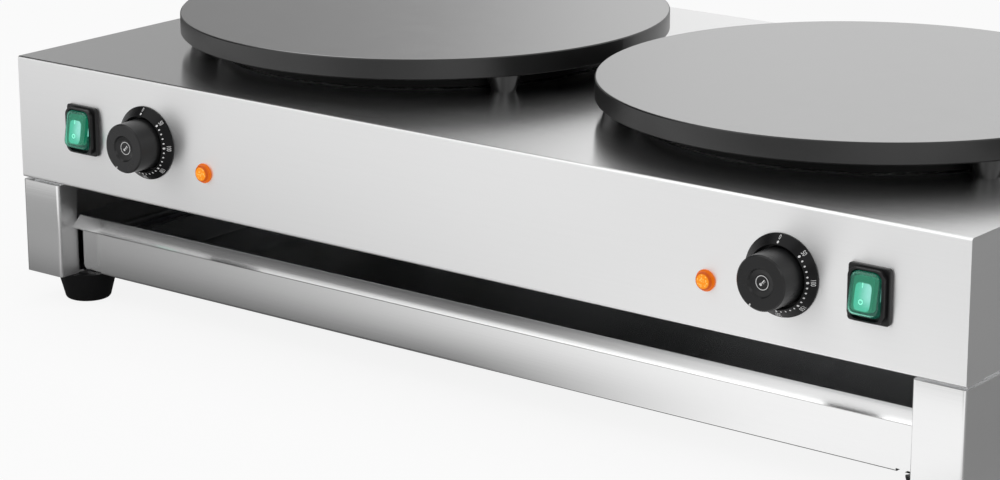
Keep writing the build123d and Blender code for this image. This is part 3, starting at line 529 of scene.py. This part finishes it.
def knob_marks(side, sign):
    """Pointer tick on the knob's face, and a thermometer in a ring in its dish."""
    place = panel_matrix(sign * dial_x, panel_z)
    dish, face = knob_dish + print_lift, knob_face + print_lift
    lean = Matrix.Rotation(math.radians(-40), 4, "Z")
    turned = Matrix.Rotation(-rest_celsius * turn_per_celsius, 4, "Z")

    def upright(p):
        return place @ p

    def leaning(p):
        return place @ (lean @ p)

    def pointing(p):
        return place @ (turned @ p)

    half, tick_end, half_tick = 0.00036, 0.0015, 0.00014
    tick_start = half + 0.0002
    shapes = [
        (ring_shape(0.00465, 0.00515, (0, 0), dish, 48), upright),
        (disc_shape(0.00105, (0, -0.0017), dish), leaning),
        (bar_shape(-half, half, -0.0012, 0.0029, dish), leaning),
    ]
    for y in (0.0004, 0.0014, 0.0024):
        shapes.append((bar_shape(tick_start, tick_end, y - half_tick, y + half_tick, dish), leaning))
    low, high = 0.01700, 0.01905
    pointer = [(-0.0004, low, face), (0.0004, low, face), (0.0008, high, face), (-0.0008, high, face)]
    shapes.append(((pointer, [[0, 1, 2, 3]]), pointing))
    add_mesh(f"knob_marks_{side}", *joined(shapes), print_white, f"knob_{side}")


def rocker_marks(side, sign):
    """I and O on the rocker's face."""
    place = panel_matrix(sign * switch_x, panel_z) @ tilt_about_pivot(tilt)
    height = rocker_face + rocker_print_lift

    def lay(p):
        return place @ p

    shapes = [
        (bar_shape(-0.0014, -0.0005, 0.0040, 0.0074, height), lay),
        (ring_shape(0.0010, 0.0019, (-0.0010, -0.0056), height, 32), lay),
    ]
    add_mesh(f"rocker_marks_{side}", *joined(shapes), print_lit, f"rocker_{side}")


def rounded_outline(width, height, corner):
    """Points round a rectangle with round corners, anticlockwise."""
    steps = 7
    points = []
    for cx, cy, start in ((1, 1, 0), (-1, 1, 90), (-1, -1, 180), (1, -1, 270)):
        for i in range(steps + 1):
            a = math.radians(start + 90 * i / steps)
            points.append((
                cx * (width / 2 - corner) + corner * math.cos(a),
                cy * (height / 2 - corner) + corner * math.sin(a),
            ))
    return points


def band(a, b):
    """Quads between two rings with as many vertices."""
    quads = []
    for i in range(len(a)):
        j = (i + 1) % len(a)
        quads.append([a[i], a[j], b[j], b[i]])
    return quads


def boot(side, sign):
    """Soft clear cover: a flat skirt at the frame, and a crown that tilts with the rocker."""
    # Each ring's width, height, corner radius and height over the panel, in mm, from the skirt up and back down
    outer = [
        (22.8, 30.0, 5.5, 4.6), (22.8, 30.0, 5.5, 6.2), (22.7, 29.9, 5.5, 7.6), (22.5, 29.7, 5.4, 9.0),
        (22.0, 29.2, 5.1, 10.0), (20.9, 28.1, 4.6, 10.7), (19.0, 26.2, 4.0, 11.0), (14.0, 21.0, 3.2, 11.05),
    ]
    inner = [
        (13.6, 20.6, 3.0, 10.28), (18.2, 25.4, 3.6, 10.24), (20.2, 27.4, 4.2, 9.8), (20.7, 27.9, 4.4, 9.0),
        (20.8, 28.0, 4.5, 7.6), (20.8, 28.0, 4.5, 6.2), (20.8, 28.0, 4.5, 4.6),
    ]
    still_height, bend_height = 5.2, 3.3
    place = panel_matrix(sign * switch_x, panel_z)
    verts, rings = [], []
    for width, height, corner, rise in outer + inner:
        share = min(1.0, max(0.0, (rise - still_height) / bend_height))
        eased = share * share * (3 - 2 * share)
        turn = tilt_about_pivot(tilt * eased)
        outline = rounded_outline(width * mm, height * mm, corner * mm)
        rings.append(list(range(len(verts), len(verts) + len(outline))))
        verts += [place @ (turn @ Vector((x, y, rise * mm))) for x, y in outline]
    outside, inside = rings[:len(outer)], rings[len(outer):]
    faces = []
    for a, b in list(zip(outside, outside[1:])) + list(zip(inside, inside[1:])):
        faces += band(a, b)
    faces += [outside[-1], inside[0][::-1]]
    faces += band(inside[-1], outside[0])
    piece = add_mesh(f"boot_{side}", verts, faces, boot_look, None, slot="boot_green")
    for face in piece.data.polygons:
        face.use_smooth = len(face.vertices) == 4
    bm = bmesh.new()
    bm.from_mesh(piece.data)
    bmesh.ops.recalc_face_normals(bm, faces=bm.faces[:])
    bm.to_mesh(piece.data)
    bm.free()
    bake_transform(piece)
    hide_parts(f"switch_boot_{side}")


def lens(side, sign):
    """Amber lens: a smooth flange and a dome cut with rings of facets."""
    place = panel_matrix(sign * lamp_x, lamp_z)
    look = lit_lens(f"lens_lit_{side}", tuple(place @ Vector((0, 0, 0.002))))
    # Each ring's radius and height over the panel, in mm
    profile = [
        (7.8, 0.0), (7.8, 0.9), (7.4, 1.4), (6.9, 1.45), (6.75, 2.4), (6.4, 3.3),
        (5.6, 4.0), (4.6, 4.35), (3.4, 4.6), (2.2, 4.72), (1.0, 4.78),
    ]
    last_plain, sides = 5, 24
    cut, peak = 0.12, 0.0046
    verts, faces = [], []
    for index, (radius, height) in enumerate(profile):
        faceted = index > last_plain
        for i in range(sides):
            a = 2 * math.pi * (i + 0.5 * (index % 2) * faceted) / sides
            sunk = cut if faceted and (i + index) % 2 else 0.0
            verts.append(place @ Vector((
                radius * mm * math.cos(a), radius * mm * math.sin(a), (height - sunk) * mm,
            )))
    rings = [list(range(k * sides, (k + 1) * sides)) for k in range(len(profile))]
    for index, (a, b) in enumerate(zip(rings, rings[1:])):
        for quad in band(a, b):
            if index < last_plain:
                faces.append(quad)
            else:
                faces += [[quad[0], quad[1], quad[3]], [quad[1], quad[2], quad[3]]]
    verts.append(place @ Vector((0, 0, peak)))
    top = rings[-1]
    faces += [[top[i], top[(i + 1) % sides], len(verts) - 1] for i in range(sides)]
    faces.append(rings[0][::-1])
    piece = add_mesh(f"lens_{side}", verts, faces, look, root, slot="lens_amber")
    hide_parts(f"lamp_lens_{side}")


for side, sign in SIDES.items():
    wear(nodes[f"rocker_{side}"], lit_rocker(f"rocker_lit_{side}", sign * switch_x))
    dial_marks(side, sign)
    knob_marks(side, sign)
    rocker_marks(side, sign)
    boot(side, sign)
    lens(side, sign)


# ---- floor, light and camera ----

def seen_rays(g):
    """The light path, and 1 for rays that meet the background straight, by reflection or through a clear piece."""
    path = g.add("ShaderNodeLightPath").outputs
    seen = g.math("MAXIMUM", path["Is Camera Ray"], path["Is Glossy Ray"])
    return path, g.math("MAXIMUM", seen, path["Is Transmission Ray"])


def floor_look(g):
    """Pale floor: even to the camera, and graded to the metal with painted shadow and shade."""
    path, seen = seen_rays(g)
    x, y = g.split(g.object_place())[:2]
    # Before the part, painted shade: bright at both ends, with a dimmer middle
    before = g.blend(g.ease(x, -0.45, 0.10), 1.0, 0.52)
    before = g.blend(g.ease(x, 0.50, 0.85), before, 1.0)
    # Close to the part, painted shadow: dim at the left
    shadow_close_left = g.blend(g.ease(x, -0.60, 0.20), 0.29, 1.0)
    level = g.blend(g.ease(y, -0.56, -0.47), before, shadow_close_left)
    # Far away to the left, in front: painted shade
    shade_far_left = g.math("MULTIPLY", g.ease(y, -1.9, -3.2), g.ease(g.math("DIVIDE", x, y), 0.62, 0.84))
    level = g.blend(shade_far_left, level, 0.34)
    # Painted shadow under the part and its drawer
    shadow_under_drawer = g.math("MULTIPLY", g.ease(y, -0.38, -0.26), g.ease(x, 0.25, -0.10))
    shadow_at_base = g.math("MULTIPLY", g.ease(y, -0.232, -0.222), g.ease(x, 0.46, 0.40))
    level = g.blend(g.math("MAXIMUM", shadow_under_drawer, shadow_at_base), level, 0.07)
    # Painted shade beside the right end
    shade_beside_end = g.math("MULTIPLY", g.ease(x, 0.34, 0.50), g.ease(y, -0.45, -0.20))
    level = g.blend(shade_beside_end, level, 0.19)
    strength = g.blend(path["Is Camera Ray"], level, 1.0)
    soft = g.add("ShaderNodeBsdfDiffuse", Color=grey(0.80)).outputs[0]
    glow = g.add("ShaderNodeEmission", Color=grey(1.0), Strength=strength).outputs[0]
    mixed = g.tree.nodes.new("ShaderNodeMixShader")
    for i, value in enumerate((g.math("MULTIPLY", seen, 0.88), soft, glow)):
        g.put(mixed, i, value)
    return mixed.outputs[0]


span = 30.0
pale = material("floor_pale", floor_look)
pale.cycles.emission_sampling = "NONE"
corners = [(-span, -span, 0), (span, -span, 0), (span, span, 0), (-span, span, 0)]
floor = add_mesh("floor", corners, [[0, 1, 2, 3]], pale, None)


def fill_sky(g):
    """Pale sky, even to the camera. To the metal it is dim at the left, most of all high up at the back."""
    path, seen = seen_rays(g)
    right, back, up = g.split(g.add("ShaderNodeTexCoord").outputs["Generated"])
    low_sky = g.blend(g.ease(right, -0.635, -0.570), 0.42, 0.92)
    high_sky = g.blend(g.ease(right, -0.645, -0.53), 0.06, 0.95)
    level = g.blend(g.ease(up, 0.20, 0.48), low_sky, high_sky)
    before = g.blend(g.ease(up, 0.25, 0.60), 0.68, g.math("MULTIPLY", level, 0.72))
    level = g.blend(g.ease(back, 0.10, -0.20), level, before)
    level = g.blend(path["Is Camera Ray"], level, 1.0)
    backdrop = g.add("ShaderNodeBackground", Color=grey(1.0), Strength=g.blend(seen, 0.55, level))
    out = g.add("ShaderNodeOutputWorld")
    g.tree.links.new(backdrop.outputs[0], out.inputs["Surface"])


world = bpy.data.worlds.new("studio")
scene.world = world
world.cycles.sampling_method = "NONE"
world.use_nodes = True
fill_sky(Graph(world.node_tree))


def toward(direction):
    """Rotation of a lamp or camera that looks along a direction, with its own up side up."""
    return direction.to_track_quat("-Z", "Y")


def softbox(name, place, size, power):
    """Area light that looks at the part."""
    aim = (0, 0, 0.1)
    data = bpy.data.lights.new(name, "AREA")
    data.shape = "RECTANGLE"
    data.size, data.size_y = size
    data.energy = power
    box = bpy.data.objects.new(name, data)
    scene.collection.objects.link(box)
    box.location = place
    box.rotation_mode = "QUATERNION"
    box.rotation_quaternion = toward(Vector(aim) - Vector(place))
    return box


softbox("key", (-1.5, -2.3, 2.6), (3.6, 3.6), 32)
softbox("fill", (2.4, -1.8, 2.0), (1.6, 1.6), 8)
overhead = softbox("top", (0, 0.4, 3.0), (2.2, 1.6), 16)
overhead.visible_glossy = False

camera_data = bpy.data.cameras.new("photo")
camera_data.sensor_width = 36.0
camera_data.sensor_fit = "HORIZONTAL"
camera_data.lens = 110.480
camera_data.clip_start = 0.05
camera_data.clip_end = 100.0
camera = bpy.data.objects.new("photo", camera_data)
scene.collection.objects.link(camera)
azimuth, elevation, roll = math.radians(38.42), math.radians(15.88), math.radians(-0.15)
outward = Vector((
    math.sin(azimuth) * math.cos(elevation),
    -math.cos(azimuth) * math.cos(elevation),
    math.sin(elevation),
))
camera.location = (1.37736, -1.90801, 0.74130)
camera.rotation_mode = "QUATERNION"
camera.rotation_quaternion = toward(-outward) @ Quaternion((0, 0, 1), roll)
scene.camera = camera
